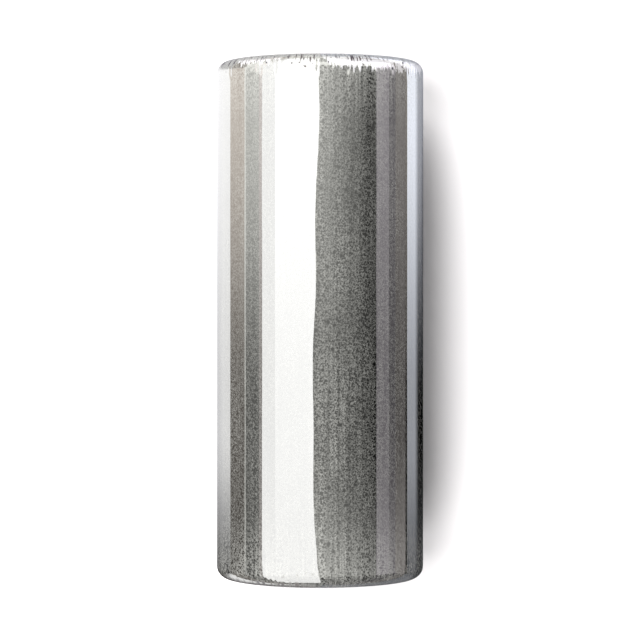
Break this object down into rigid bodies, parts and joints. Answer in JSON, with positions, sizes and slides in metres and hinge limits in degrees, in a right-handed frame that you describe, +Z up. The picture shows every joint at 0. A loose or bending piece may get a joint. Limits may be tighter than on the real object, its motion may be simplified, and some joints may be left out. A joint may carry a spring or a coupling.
{
  "type": "guitar slide",
  "caption": "Open straight plated metal tube with rounded rims, worn on a finger and slid along guitar strings to bend their pitch.",
  "frame": {"origin": "on the surface the slide lies on, directly under the middle of the tube", "axes": "+Y along the tube's axis, +Z up away from the surface it lies on, +X across the tube"},
  "size_m": [0.0254, 0.0636, 0.0254],
  "materials": {
    "chrome_plate": "polished bright plating with straight draw lines along the tube and a haze of fine dark specks"
  },
  "bodies": {
    "root": {"slide_tube": "chrome_plate"}
  },
  "joints": []
}
